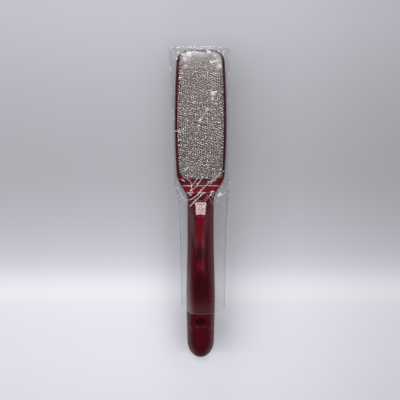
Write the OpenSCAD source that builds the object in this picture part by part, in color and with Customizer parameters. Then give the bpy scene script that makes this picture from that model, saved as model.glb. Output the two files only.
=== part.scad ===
// A foot file: one moulded translucent handle with a toothed metal plate bonded into
// each face of its head, packed in a clear film sleeve that pulls off over the head.
// X runs across the file, Y along it with the head at +Y, and Z is up from the table.
// The origin is on the table, under the middle of the file in its sleeve.

/* [File] */
// Length of the file, tail to head
file_len = 260; // [240:1:280]

/* [Head] */
// Length of the head, from its outer end to the shoulder
head_len = 105; // [95:1:115]
// Width of the head where it is widest
head_w = 44.4; // [42:0.1:48]
// Width of the head at its outer end, before the corners
head_end_w = 39.7; // [37:0.1:42]
// Width of the head where the shoulder starts
head_root_w = 41.2; // [39:0.1:42]
// Thickness of the head, rim to rim
head_t = 5.6; // [5:0.1:7]
// Radius of the head's two outer corners in plan
head_corner_r = 10.5; // [8:0.5:13]
// Radius round the edges of the head
head_edge_r = 1.2; // [0.6:0.1:1.6]

/* [Neck] */
// Length of the shoulder, where the head narrows to the grip
shoulder_len = 22.5; // [18:0.5:28]
// Width of the scoop where the flat neck runs into the grip
scoop_w = 16; // [12:0.5:18]
// Length of the two horns of the grip beside the scoop
scoop_len = 5.5; // [4:0.5:8]
// Width of the shallow groove across the neck
groove_w = 5.8; // [4:0.2:7]
// Depth of the shallow groove across the neck
groove_depth = 0.4; // [0.2:0.05:0.6]
// Land between the scoop's horns and the groove
groove_land = 1.2; // [0.8:0.1:2]

/* [Grip] */
// Width of the grip at its belly
grip_w = 24.2; // [22:0.1:28]
// Width of the grip at its waist, behind the neck
waist_w = 22.2; // [20:0.1:24]
// Thickness of the grip at its crest
grip_t = 13; // [12:0.1:15]
// Thickness of the grip where its rounded tail starts
tail_t = 11.4; // [10:0.1:13]
// Thickness of the grip where its ramp meets the flat neck
nose_t = 7.8; // [7.2:0.1:9]
// Length of the ramp that climbs from the neck to the crest
ramp_len = 13; // [10:0.5:18]
// Distance from the tail to the middle of the belly
belly_from_tail = 52; // [46:1:60]
// Length over which the belly swells and fades on each side
belly_reach = 50; // [40:1:52]
// Length of the rounded tail end
tail_round_len = 14; // [11:0.5:18]
// Width of the fine facet along the middle of the grip
facet_w = 2.4; // [1.8:0.1:3.2]
// Width of that facet where it starts at the neck
facet_neck_w = 8.7; // [6:0.1:10]

/* [Grip pads] */
// Distance from the tail to the middle of the long thumb pad
pad_from_tail = 58.6; // [55:0.2:62]
// Length of the long thumb pad
pad_len = 32; // [26:1:36]
// Width of the long thumb pad
pad_w = 15.2; // [12:0.2:17]
// Depth of the long thumb pad
pad_depth = 0.9; // [0.4:0.1:1.4]
// Distance from the tail to the middle of the cross dimple
dimple_from_tail = 29.9; // [28:0.1:32]
// Length of the cross dimple along the grip
dimple_len = 10.4; // [8:0.2:12]
// Width of the cross dimple
dimple_w = 13.6; // [10:0.2:15]
// Depth of the cross dimple
dimple_depth = 0.8; // [0.4:0.1:1.2]

/* [Plates] */
// Length of each metal plate
plate_len = 107.3; // [100:0.1:110]
// Thickness of a plate's sheet, without its teeth
plate_t = 0.6; // [0.4:0.05:1]
// Corner radius of the plates
plate_corner_r = 8; // [6:0.5:10]
// Width of the moulded rim beside a plate
rim_w = 2.3; // [1.8:0.1:3]
// Width of the moulded rim at the outer end
end_rim_w = 1.5; // [1.3:0.1:2.5]
// Gap round a plate in its recess
plate_gap = 0.1; // [0.05:0.05:0.2]
// Thickness of the adhesive under each plate
adhesive_t = 0.25; // [0.1:0.05:0.4]
// How far the adhesive stays inside the plate's edge
adhesive_inset = 0.8; // [0.4:0.1:2]
// Height of the coarse teeth on the front plate
coarse_tooth_h = 0.55; // [0.3:0.05:0.9]
// Spacing of the coarse teeth
coarse_pitch = 3; // [2.8:0.1:4]
// Height of the fine teeth on the rear plate
fine_tooth_h = 0.3; // [0.15:0.05:0.6]
// Spacing of the fine teeth
fine_pitch = 2.6; // [2.4:0.1:3.5]

/* [Sleeve] */
// Width of the sleeve at its closed end, where it lies flat
sleeve_w = 55; // [53:0.5:60]
// How far the sleeve reaches past the head
sleeve_past_head = 3.6; // [3:0.1:6]
// How far the tail stands out of the sleeve's mouth
tail_out = 38.5; // [34:0.5:44]
// Thickness of one sheet of the sleeve
film_t = 0.4; // [0.3:0.05:0.6]
// Width of the welds along the sides
side_weld_w = 1.2; // [0.8:0.1:2]
// How far each side of the sleeve slopes out on its way down, where it is drawn in
side_slope = 0.6; // [0.4:0.1:1]
// Width of the weld at the closed end
end_weld_w = 1.4; // [1:0.1:1.6]
// Clearance between the sleeve and the file, over the whole pull
sleeve_gap = 0.35; // [0.3:0.05:0.6]

/* [Hidden] */

// Where the head is widest, as a share of its length from the shoulder.
widest_share = 0.43;
// Counts of facets: round the side of a section, and of sections in each stretch.
side_steps = 6;
tail_steps = 7;
grip_steps = 44;
neck_steps = 12;
head_steps = 7;
corner_steps = 7;
edge_steps = 3;
film_side_steps = 2;
film_crown_steps = 5;
film_fade_steps = 8;
film_row_steps = 5;
scoop_sides = 48;
// How deeply the faces of these solids nest, for the preview.
loft_depth = 6;
plate_depth = 4;
film_depth = 6;
// How far a cutting solid runs past the face that it opens.
overrun = 0.5;
// A section's side arc stops short of level, so that the facets keep an edge.
facet_arc = 76;
// How much of its cell a tooth's tip may wander, and of its height it may lose.
tooth_wander_share = 0.5;
tooth_low_share = 0.45;
// How much the rows of teeth crowd towards a plate's two ends.
row_crowd_share = 0.12;
front_seed = 7;
rear_seed = 19;

head_root = file_len - head_len;
grip_end = head_root - shoulder_len;
ramp_foot = grip_end;
ramp_top = ramp_foot - ramp_len;
scoop_end = ramp_foot + scoop_len;
groove_start = scoop_end + groove_land;
widest_at = head_root + head_len * widest_share;
corner_start = file_len - head_corner_r;
whole_len = file_len + sleeve_past_head;
tooth_top = head_t / 2 + coarse_tooth_h;
mid_z = film_t + sleeve_gap + grip_t / 2;
recess_depth = plate_t + adhesive_t;
recess_floor = head_t / 2 - recess_depth;
plate_end = file_len - end_rim_w;
plate_start = plate_end - plate_len;

function blend(a, b, t) = a + (b - a) * t;
function clamp01(t) = min(max(t, 0), 1);
function ease(t) = let(c = clamp01(t)) c * c * (3 - 2 * c);
// One at the middle of a span, falling to nothing at its two ends, like a circle.
function oval(at, middle, span) = sqrt(max(0, 1 - pow(2 * (at - middle) / span, 2)));
// The same, but falling like a shallow dish.
function dish(at, middle, span) = max(0, 1 - pow(2 * (at - middle) / span, 2));
// How far round a quarter ellipse a place s lies from the tail's tip.
function tail_round(s, reach) = s >= reach ? 1 : sqrt(max(0, 1 - pow(1 - s / reach, 2)));

// Half width of the head at a distance s from the tail, with its rounded corners.
function head_side(s) =
    s > widest_at
    ? (head_w - (head_w - head_end_w) * pow((s - widest_at) / (file_len - widest_at), 2)) / 2
    : (head_w - (head_w - head_root_w) * pow((widest_at - s) / (widest_at - head_root), 2)) / 2;

function head_half_w(s) =
    s <= corner_start
    ? head_side(s)
    : head_side(corner_start) - head_corner_r
      + sqrt(max(0, pow(head_corner_r, 2) - pow(s - corner_start, 2)));

function grip_half_w(s) =
    let(near = min(abs(s - belly_from_tail) / belly_reach, 1))
    (waist_w + (grip_w - waist_w) * (1 + cos(180 * near)) / 2) / 2 * tail_round(s, tail_round_len);

// Half width of the whole file in plan.
function half_w(s) =
    blend(grip_half_w(s), head_half_w(max(s, head_root)), ease((s - grip_end) / shoulder_len));

// Half thickness along the middle of the file.
function grip_half_t(s) =
    let(crest_t = blend(tail_t, grip_t, ease((s - tail_round_len) / (ramp_top - tail_round_len))))
    blend(nose_t, crest_t, ease((ramp_foot - s) / ramp_len)) / 2 * tail_round(s, tail_round_len)
    - pad_depth * dish(s, pad_from_tail, pad_len)
    - dimple_depth * dish(s, dimple_from_tail, dimple_len);

function half_t(s) =
    s <= ramp_foot
    ? grip_half_t(s)
    : blend(nose_t, head_t, ease((s - ramp_foot) / (groove_start - ramp_foot))) / 2;

// Half width of the flat along the middle of the grip.
function facet_half(s) =
    max(blend(facet_w, facet_neck_w, clamp01((s - pad_from_tail - pad_len / 2)
              / (ramp_foot - pad_from_tail - pad_len / 2))),
        pad_w * oval(s, pad_from_tail, pad_len),
        dimple_w * oval(s, dimple_from_tail, dimple_len)) / 2;

// Half width of the flat on top of a section, wherever it is.
function flat_half(s) =
    let(w = half_w(s), grip_flat = min(facet_half(s), w / 2))
    blend(grip_flat, w - head_edge_r, ease((s - ramp_foot) / (groove_start - ramp_foot)));

// One section: a side arc from the middle plane up to the flat, then mirrored round.
// Its half width, half thickness and flat are given, and s is its place along the file.
function arc_pt(w, t, flat, k) =
    let(a = facet_arc * k / side_steps)
    [w - (w - flat) * (1 - cos(a)) / (1 - cos(facet_arc)), t * sin(a) / sin(facet_arc)];

function section(s, w, t, flat) = concat(
    [for (k = [0 : side_steps]) let(p = arc_pt(w, t, flat, k)) [p.x, s, p.y]],
    [for (k = [side_steps : -1 : 0]) let(p = arc_pt(w, t, flat, k)) [-p.x, s, p.y]],
    [for (k = [1 : side_steps]) let(p = arc_pt(w, t, flat, k)) [-p.x, s, -p.y]],
    [for (k = [side_steps : -1 : 1]) let(p = arc_pt(w, t, flat, k)) [p.x, s, -p.y]]);

function plain_section(s) = section(s, half_w(s), half_t(s), flat_half(s));

// The last sections round the head's end edge over.
function end_section(a) =
    let(s = file_len - head_edge_r * (1 - sin(a)),
        w = half_w(s),
        t = head_t / 2 - head_edge_r * (1 - cos(a)))
    section(s, w, t, w - head_edge_r);

tail_places = [for (k = [1 : tail_steps]) tail_round_len * (1 - cos(90 * k / tail_steps))];
grip_places = [for (k = [1 : grip_steps]) blend(tail_round_len, grip_end, k / grip_steps)];
neck_places = [for (k = [1 : neck_steps]) blend(grip_end, head_root, k / neck_steps)];
head_places = [for (k = [1 : head_steps]) blend(head_root, corner_start, k / head_steps)];
corner_places = [for (k = [1 : corner_steps])
                 corner_start + (head_corner_r - head_edge_r) * sin(90 * k / corner_steps)];
places = concat(tail_places, grip_places, neck_places, head_places, corner_places);

// The moulded body, from sections, with its tail closed on one point.
module body_loft() {
    rings = concat([for (s = places) plain_section(s)],
                   [for (k = [1 : edge_steps]) end_section(90 * k / edge_steps)]);
    n = len(rings[0]);
    last = len(rings) - 1;
    pts = concat([[0, 0, 0]], [for (ring = rings) for (p = ring) p]);
    tail_faces = [for (k = [0 : n - 1]) [0, 1 + k, 1 + (k + 1) % n]];
    side_faces = [for (j = [0 : last - 1]) for (k = [0 : n - 1])
        let(a = 1 + j * n + k, b = 1 + j * n + (k + 1) % n)
        each [[a, a + n, b], [b, a + n, b + n]]];
    end_face = [[for (k = [n - 1 : -1 : 0]) 1 + last * n + k]];
    polyhedron(pts, concat(tail_faces, side_faces, end_face), convexity = loft_depth);
}

// Outline of a plate, grown or shrunk by a given amount.
function plate_side(s, grow) =
    let(from = plate_start - grow,
        to = plate_end + grow,
        r = plate_corner_r + grow,
        in = min(s - from, to - s),
        side = head_side(max(s, head_root)) - rim_w + grow)
    in >= r ? side : side - r + sqrt(max(0, r * r - pow(r - in, 2)));

function plate_rows(rows, grow) =
    let(from = plate_start - grow, to = plate_end + grow, r = plate_corner_r + grow, ends = corner_steps)
    concat([for (k = [0 : ends - 1]) from + r * (1 - cos(90 * k / ends))],
           [for (k = [0 : rows]) blend(from + r, to - r, k / rows)],
           [for (k = [1 : ends]) to - r + r * sin(90 * k / ends)]);

module plate_outline(grow) {
    rows = plate_rows(head_steps, grow);
    right = [for (s = rows) [plate_side(s, grow), s]];
    left = [for (k = [len(rows) - 1 : -1 : 0]) [-plate_side(rows[k], grow), rows[k]]];
    polygon(concat(right, left));
}

// A plate as one sheet whose top carries a field of small pyramids. The grid has two
// cells to a tooth, and each tip wanders in its cell and loses some of its height.
module toothed_plate(pitch, tooth_h, seed) {
    cols = 2 * floor(head_w / pitch);
    rows = 2 * floor(plate_len / pitch);
    count = (cols + 1) * (rows + 1);
    wander = rands(-1, 1, 2 * count, seed);
    drop = rands(0, 1, count, seed + 1);
    function place(j) =
        let(even = j / rows, crowded = (1 - cos(180 * even)) / 2)
        blend(plate_start, plate_end, blend(even, crowded, row_crowd_share));
    function is_tip(i, j) = i % 2 == 1 && j % 2 == 1;
    function grid_pt(i, j) =
        let(s = place(j),
            w = plate_side(s, 0),
            cell = 2 * w / cols,
            q = j * (cols + 1) + i,
            tip = is_tip(i, j) ? 1 : 0)
        [w * (2 * i / cols - 1) + tip * wander[q] * cell * tooth_wander_share,
         s + tip * wander[q + count] * cell * tooth_wander_share,
         plate_t + tip * tooth_h * (1 - drop[q] * tooth_low_share)];
    top = [for (j = [0 : rows]) for (i = [0 : cols]) grid_pt(i, j)];
    // The rim of the grid, once round from the first corner, seen from above.
    edge = concat([for (i = [0 : cols]) i],
                  [for (j = [1 : rows]) j * (cols + 1) + cols],
                  [for (i = [cols - 1 : -1 : 0]) rows * (cols + 1) + i],
                  [for (j = [rows - 1 : -1 : 1]) j * (cols + 1)]);
    n = len(edge);
    under = [for (e = edge) [top[e].x, top[e].y, 0]];
    top_faces = [for (j = [0 : rows - 1]) for (i = [0 : cols - 1])
        let(a = j * (cols + 1) + i, b = a + 1, c = a + cols + 1, d = c + 1)
        each ((i + j) % 2 == 0 ? [[a, c, d], [a, d, b]] : [[a, c, b], [b, c, d]])];
    wall_faces = [for (k = [0 : n - 1])
        let(a = edge[k], b = edge[(k + 1) % n], c = count + k, d = count + (k + 1) % n)
        each [[a, b, c], [b, d, c]]];
    function left(j) = count + (j == 0 ? 0 : n - j);
    function right(j) = count + cols + j;
    under_faces = concat(
        [for (i = [0 : cols - 1]) [count + i, count + i + 1, left(1)]],
        [[right(0), right(1), left(1)]],
        [for (j = [1 : rows - 2]) each [[left(j), right(j), left(j + 1)],
                                        [right(j), right(j + 1), left(j + 1)]]],
        [[left(rows - 1), right(rows - 1), right(rows)]],
        [for (i = [0 : cols - 1]) [left(rows - 1), right(rows) + i, right(rows) + i + 1]]);
    polyhedron(concat(top, under), concat(top_faces, wall_faces, under_faces), convexity = plate_depth);
}

// Everything of the file is drawn from its tail, on its middle plane, and moved here.
module file_place() {
    translate([0, -whole_len / 2, mid_z]) children();
}

// The same for what lies on the rear face.
module turned_over() {
    mirror([0, 0, 1]) children();
}

// What is cut from one face of the head and neck.
module face_cuts() {
    translate([0, 0, recess_floor])
        linear_extrude(recess_depth + overrun) plate_outline(plate_gap);
    translate([0, ramp_foot, head_t / 2])
        linear_extrude(nose_t) scoop_outline();
    translate([-head_w / 2, groove_start, head_t / 2 - groove_depth])
        cube([head_w, groove_w, groove_depth + overrun]);
}

// The flat neck runs into the grip with a rounded end, between two horns.
module scoop_outline() {
    translate([0, scoop_w / 2]) circle(d = scoop_w, $fn = scoop_sides);
    translate([-scoop_w / 2, scoop_w / 2]) square([scoop_w, groove_start - ramp_foot]);
}

module handle() {
    color([0.42, 0.03, 0.07, 0.9])
        file_place()
            difference() {
                body_loft();
                face_cuts();
                turned_over() face_cuts();
            }
}

module adhesive() {
    translate([0, 0, recess_floor]) linear_extrude(adhesive_t) plate_outline(-adhesive_inset);
}

module front_adhesive() {
    color([0.72, 0.66, 0.48]) file_place() adhesive();
}

module rear_adhesive() {
    color([0.72, 0.66, 0.48]) file_place() turned_over() adhesive();
}

module front_plate() {
    color([0.62, 0.6, 0.58])
        file_place()
            translate([0, 0, recess_floor + adhesive_t])
                toothed_plate(coarse_pitch, coarse_tooth_h, front_seed);
}

module rear_plate() {
    color([0.62, 0.6, 0.58])
        file_place()
            turned_over()
                translate([0, 0, recess_floor + adhesive_t])
                    toothed_plate(fine_pitch, fine_tooth_h, rear_seed);
}

head_clear_x = head_w / 2 + sleeve_gap;
grip_clear_x = grip_w / 2 + sleeve_gap;
mouth_half_w = head_clear_x + side_slope + side_weld_w;
flat_z = mid_z + tooth_top + sleeve_gap;
crown_z = mid_z + grip_t / 2 + sleeve_gap;
// Places along the file, from its tail: the sleeve comes down with the ramp from the
// grip's height to the head's, and closes past the head.
crown_end = ramp_top + sleeve_gap;
crown_fade = groove_start;
head_clear_s = file_len + sleeve_gap;
end_weld_s = whole_len - end_weld_w;

// The sleeve tapers from its closed end to the widest part of the head. From there to
// the mouth it is drawn in as far as still lets it pull off over the head.
function sleeve_half_w(s) =
    blend(mouth_half_w, sleeve_w / 2, clamp01((s - widest_at) / (whole_len - widest_at)));
function weld_x(s) = sleeve_half_w(s) - side_weld_w;

// Height of the front sheet's inner face at a place x across and s from the tail.
function film_height(x, s) =
    let(side = clamp01((weld_x(s) - abs(x)) / (weld_x(s) - head_clear_x)),
        end = clamp01((end_weld_s - s) / (end_weld_s - head_clear_s)),
        over = 1 - ease((s - crown_end) / (crown_fade - crown_end)),
        crown = (crown_z - flat_z) * over * oval(x, 0, 2 * grip_clear_x))
    film_t + (flat_z - film_t + crown) * min(side, end);

function film_half_xs(s) = concat(
    [sleeve_half_w(s), weld_x(s)],
    [for (k = [1 : film_side_steps]) blend(weld_x(s), head_clear_x, k / film_side_steps)],
    [for (k = [0 : film_crown_steps]) grip_clear_x * cos(90 * k / film_crown_steps)]);
function film_xs(s) =
    let(half = film_half_xs(s))
    concat([for (x = half) -x], [for (k = [len(half) - 2 : -1 : 0]) half[k]]);
function film_rows(from, to, steps) = [for (k = [0 : steps - 1]) blend(from, to, k / steps)];
film_ss = concat(film_rows(tail_out, crown_end, film_row_steps),
                 film_rows(crown_end, crown_fade, film_fade_steps),
                 film_rows(crown_fade, widest_at, film_row_steps),
                 film_rows(widest_at, head_clear_s, film_row_steps),
                 [head_clear_s, end_weld_s, whole_len]);

// The outer face stands off the sloping sides and end by the sheet's thickness too.
function stand_off(at, from, to) = abs(at) >= from && abs(at) < to ? sign(at) * film_t : 0;
function outer_pt(p) = [p.x + stand_off(p.x, head_clear_x, sleeve_half_w(p.y)),
                        p.y + stand_off(p.y, head_clear_s, whole_len),
                        p.z + film_t];

// The front sheet: welded flat along both sides and the closed end, raised over the
// file between them, and open at the mouth.
module sleeve_front_film() {
    nx = len(film_xs(tail_out));
    ns = len(film_ss);
    under = [for (s = film_ss) for (x = film_xs(s)) [x, s, film_height(x, s)]];
    over = [for (p = under) outer_pt(p)];
    count = nx * ns;
    skin_faces = [for (j = [0 : ns - 2]) for (i = [0 : nx - 2])
        let(a = j * nx + i, b = a + 1, c = a + nx, d = c + 1)
        each [[a, b, c], [b, d, c], [a + count, c + count, b + count], [b + count, c + count, d + count]]];
    edge = concat([for (i = [0 : nx - 1]) i],
                  [for (j = [1 : ns - 1]) j * nx + nx - 1],
                  [for (i = [nx - 2 : -1 : 0]) (ns - 1) * nx + i],
                  [for (j = [ns - 2 : -1 : 1]) j * nx]);
    n = len(edge);
    wall_faces = [for (k = [0 : n - 1])
        let(a = edge[k], b = edge[(k + 1) % n])
        each [[a, a + count, b], [b, a + count, b + count]]];
    color([0.85, 0.88, 0.92, 0.3])
        translate([0, -whole_len / 2, 0])
            polyhedron(concat(under, over), concat(skin_faces, wall_faces), convexity = film_depth);
}

// The rear sheet lies flat on the table, under the file.
module sleeve_rear_film() {
    rows = [tail_out, widest_at, whole_len];
    right = [for (s = rows) [sleeve_half_w(s), s]];
    left = [for (k = [len(rows) - 1 : -1 : 0]) [-right[k].x, rows[k]]];
    color([0.85, 0.88, 0.92, 0.3])
        translate([0, -whole_len / 2, 0])
            linear_extrude(film_t) polygon(concat(right, left));
}

handle();
front_adhesive();
front_plate();
rear_adhesive();
rear_plate();
sleeve_rear_film();
sleeve_front_film();
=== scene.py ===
import bmesh
import bpy
import math
import numpy as np
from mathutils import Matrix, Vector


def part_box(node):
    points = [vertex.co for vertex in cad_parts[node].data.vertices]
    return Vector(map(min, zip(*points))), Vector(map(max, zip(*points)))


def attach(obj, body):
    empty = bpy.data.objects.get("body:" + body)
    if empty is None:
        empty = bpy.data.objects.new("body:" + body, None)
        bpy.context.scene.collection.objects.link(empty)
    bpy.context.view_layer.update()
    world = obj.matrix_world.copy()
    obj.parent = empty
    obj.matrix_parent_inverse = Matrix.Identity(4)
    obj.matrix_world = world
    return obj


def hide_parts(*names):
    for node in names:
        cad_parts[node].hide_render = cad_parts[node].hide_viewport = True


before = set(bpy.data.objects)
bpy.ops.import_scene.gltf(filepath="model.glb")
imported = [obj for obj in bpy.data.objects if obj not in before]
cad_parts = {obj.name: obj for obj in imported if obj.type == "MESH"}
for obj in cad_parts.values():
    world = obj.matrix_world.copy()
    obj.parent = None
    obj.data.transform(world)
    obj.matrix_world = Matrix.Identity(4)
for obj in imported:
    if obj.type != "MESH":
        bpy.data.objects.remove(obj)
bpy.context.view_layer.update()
mm = 0.001

# Lengths below are in millimetres, with s measured along the file from its tail.
handleLow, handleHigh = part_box("handle")
filmLow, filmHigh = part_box("sleeve_front_film")
fileLen = (handleHigh[1] - handleLow[1]) / mm
tailY = handleLow[1] / mm
midZ = (handleLow[2] + handleHigh[2]) / 2 / mm
gripThick = (handleHigh[2] - handleLow[2]) / mm

# The photograph's frame: 400 pixels square, the file's centre line and its tail.
photo = {
    "size": 400,
    "centreX": 200.65,
    "tailPy": 357.05,
    "mmPerPixel": 0.847,
}

head = {
    "length": 105,
    "width": (handleHigh[0] - handleLow[0]) / mm,
    "endWidth": 39.7,
    "rootWidth": 41.2,
    "widestShare": 0.43,
    "thick": 5.6,
    "cornerRadius": 10.5,
    "edgeRadius": 1.2,
}
neck = {
    "shoulder": 22.5,
    "scoopWidth": 16,
    "scoopLength": 5.5,
    "scoopWall": 1.5,
    "grooveLand": 1.2,
    "grooveWidth": 5.8,
    "grooveDepth": 0.4,
    "grooveWall": 0.35,
    "lipHeight": 0.09,
    "lipHalf": 0.35,
}
grip = {
    "width": 24.2,
    "waist": 22.2,
    "thick": gripThick,
    "tailThick": 11.4,
    "noseThick": 7.8,
    "ramp": 13,
    "bellyAt": 52,
    "bellyReach": 50,
    "tailRound": 14,
    "facet": 2.4,
    "neckFacet": 8.2,
    "facetArc": 76,
}
pad = {"at": 58.6, "length": 32, "width": 15.2, "depth": 0.9, "bowl": 1.4}
dimple = {"at": 29.9, "length": 10.4, "width": 13.6, "depth": 0.8, "bowl": 1.6}
plate = {
    "length": 107.3,
    "sheet": 0.6,
    "cornerRadius": 8,
    "rim": 2.3,
    "endRim": 1.5,
    "gap": 0.1,
    "adhesive": 0.25,
}

headRoot = fileLen - head["length"]
rampFoot = headRoot - neck["shoulder"]
rampTop = rampFoot - grip["ramp"]
scoopEnd = rampFoot + neck["scoopLength"]
grooveStart = scoopEnd + neck["grooveLand"]
grooveEnd = grooveStart + neck["grooveWidth"]
padEnd = pad["at"] + pad["length"] / 2
widestAt = headRoot + head["length"] * head["widestShare"]
cornerStart = fileLen - head["cornerRadius"]
plateEnd = fileLen - plate["endRim"]
plateStart = plateEnd - plate["length"]
faceZ = head["thick"] / 2
recessZ = faceZ - plate["sheet"] - plate["adhesive"]


def blend(a, b, t):
    return a + (b - a) * t


def clamp(t):
    return np.clip(t, 0.0, 1.0)


def ease(t):
    c = clamp(t)
    return c * c * (3 - 2 * c)


# Falls softly from 1 at no distance to 0 at a distance of 1.
def hump(away):
    return (1 + np.cos(math.pi * np.minimum(away, 1))) / 2


# A straight slope from 0 to 1 with rounded ends.
def slope(t, rounding=0.14):
    c = clamp(t)
    rate = 1 / (1 - rounding)
    start = rate * c * c / (2 * rounding)
    finish = 1 - rate * (1 - c) ** 2 / (2 * rounding)
    return np.where(c < rounding, start, np.where(c > 1 - rounding, finish, rate * (c - rounding / 2)))


# A low arch that is 1 at the middle of its span and 0 at its ends and past them.
def bulge(at, middle, span):
    return np.maximum(0.0, 1 - (2 * (at - middle) / span) ** 2)


def tailRound(s):
    return np.sqrt(np.clip(1 - (1 - np.minimum(s / grip["tailRound"], 1)) ** 2, 0, 1))


def headSide(s):
    outer = (s - widestAt) / (fileLen - widestAt)
    inner = (widestAt - s) / (widestAt - headRoot)
    outerW = head["width"] - (head["width"] - head["endWidth"]) * outer ** 2
    innerW = head["width"] - (head["width"] - head["rootWidth"]) * inner ** 2
    return np.where(s > widestAt, outerW, innerW) / 2


def headHalfWidth(s):
    r = head["cornerRadius"]
    past = np.clip(s - cornerStart, 0, r)
    return headSide(np.minimum(s, cornerStart)) - r + np.sqrt(r * r - past * past)


def gripHalfWidth(s):
    swell = hump(np.abs(s - grip["bellyAt"]) / grip["bellyReach"])
    return blend(grip["waist"], grip["width"], swell) / 2 * tailRound(s)


def halfWidth(s):
    t = ease((s - rampFoot) / neck["shoulder"])
    return blend(gripHalfWidth(s), headHalfWidth(np.maximum(s, headRoot)), t)


def halfThick(s):
    fromTail = ease((s - grip["tailRound"]) / (rampTop - grip["tailRound"]))
    crest = blend(grip["tailThick"], grip["thick"], fromTail)
    onGrip = blend(grip["noseThick"], crest, slope((rampFoot - s) / grip["ramp"])) / 2 * tailRound(s)
    for hollow in (pad, dimple):
        onGrip = onGrip - hollow["depth"] * bulge(s, hollow["at"], hollow["length"]) ** hollow["bowl"]
    onNeck = blend(grip["noseThick"], head["thick"], ease((s - rampFoot) / (grooveStart - rampFoot))) / 2
    return np.where(s <= rampFoot, onGrip, onNeck)


# How much of the way from the long pad's end to the foot of the ramp a place has covered.
def pastPad(s):
    return clamp((s - padEnd) / (rampFoot - padEnd))


def facetHalf(s):
    wide = blend(grip["facet"], grip["neckFacet"], pastPad(s))
    for hollow in (pad, dimple):
        wide = np.maximum(wide, hollow["width"] * np.sqrt(bulge(s, hollow["at"], hollow["length"])))
    return wide / 2


def flatHalf(s):
    w = halfWidth(s)
    onGrip = np.minimum(facetHalf(s), w / 2)
    return blend(onGrip, w - head["edgeRadius"], ease((s - rampFoot) / (grooveStart - rampFoot)))


# Half the plate's width at a place, or of an outline that stands off it by some growth.
def plateSide(s, grow):
    start = plateStart - grow
    end = plateEnd + grow
    r = plate["cornerRadius"] + grow
    inside = np.clip(np.minimum(s - start, end - s), 0, r)
    side = headSide(np.maximum(s, headRoot)) - plate["rim"] + grow
    return side - r + np.sqrt(np.maximum(0, r * r - (r - inside) ** 2))


def insideSides(x, s):
    return plateSide(np.clip(s, plateStart, plateEnd), 0) - np.abs(x)


def inGroove(s, wall):
    return ease((s - grooveStart) / wall) * ease((grooveEnd - s) / wall)


# What the scoop and the groove take off the neck, as a highest level at each place.
def neckLevel(x, s):
    r = neck["scoopWidth"] / 2
    centre = rampFoot + r
    outside = np.where(s < centre, np.hypot(x, s - centre), np.abs(x)) - r
    scoop = faceZ + neck["scoopWall"] * np.maximum(0, outside)
    wall = neck["grooveWall"]
    level = np.where(s < grooveStart - wall, scoop, faceZ - neck["grooveDepth"] * inGroove(s, wall))
    nearLip = np.minimum(np.abs(s - grooveStart), np.abs(s - grooveEnd))
    lip = neck["lipHeight"] * hump(nearLip / neck["lipHalf"])
    return level + np.where(level < faceZ + 0.01, lip, 0)


def makeMesh(name, bm):
    mesh = bpy.data.meshes.new(name)
    bm.to_mesh(mesh)
    bm.free()
    piece = bpy.data.objects.new(name, mesh)
    bpy.context.scene.collection.objects.link(piece)
    return piece


def smooth(piece):
    piece.data.shade_smooth()


# A grid whose points are moved to where place(u, v) says, u and v running 0 to 1.
def gridMesh(across, along, place):
    bm = bmesh.new()
    bmesh.ops.create_grid(bm, x_segments=across, y_segments=along, size=1)
    uv = np.array([(v.co.x, v.co.y) for v in bm.verts]) / 2 + 0.5
    points = place(uv[:, 0], uv[:, 1]) * mm
    for v, p in zip(bm.verts, points):
        v.co = p
    return bm


# A number at each point of a finished mesh, for its material to read.
def storeNumbers(piece, name, values):
    layer = piece.data.attributes.new(name, "FLOAT", "POINT")
    layer.data.foreach_set("value", np.asarray(values, dtype=np.float32))


def pointsOf(piece):
    co = np.zeros(len(piece.data.vertices) * 3)
    piece.data.vertices.foreach_get("co", co)
    return co.reshape(-1, 3) / mm


def stopsAlong(s, stops):
    return np.interp(s, *zip(*stops))


# How many columns in from its nearer side each column of a sheet is.
def columnsIn(count):
    return np.minimum(np.arange(count), np.arange(count)[::-1])[None, :]


waves = {"count": 70}


# Waves of nearly one length from every side add up to ridges with no direction.
def ridgeField(x, y, pitch, seed, spread=0.16):
    rng = np.random.default_rng(seed)
    total = np.zeros_like(x)
    for _ in range(waves["count"]):
        angle = rng.uniform(0, 2 * math.pi)
        k = 2 * math.pi / (pitch * max(0.4, rng.normal(1, spread)))
        total += np.cos(k * (x * math.cos(angle) + y * math.sin(angle)) + rng.uniform(0, 2 * math.pi))
    return total / math.sqrt(waves["count"] / 2)


# Handle: one loft from the tail to the head's end, with the recess for each plate.
handleMesh = {
    "arc": 14,
    "rim": 3,
    "inside": 30,
    "tailRows": 18,
    "gripStep": 0.8,
    "neckStep": 0.3,
    "neckShort": 5,
    "rootStep": 0.5,
    "headStep": 2.0,
    "grooveReach": 0.7,
    "grooveClear": 0.75,
    "cornerRows": 15,
    "endRows": 6,
    "weld": 0.002,
    "bevel": 0.12,
    "bevelAngle": 50,
}
ripples = {"height": 0.034, "pitch": 1.9, "spread": 0.3, "seed": 3, "lowest": -3, "highest": 1.2}


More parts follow.
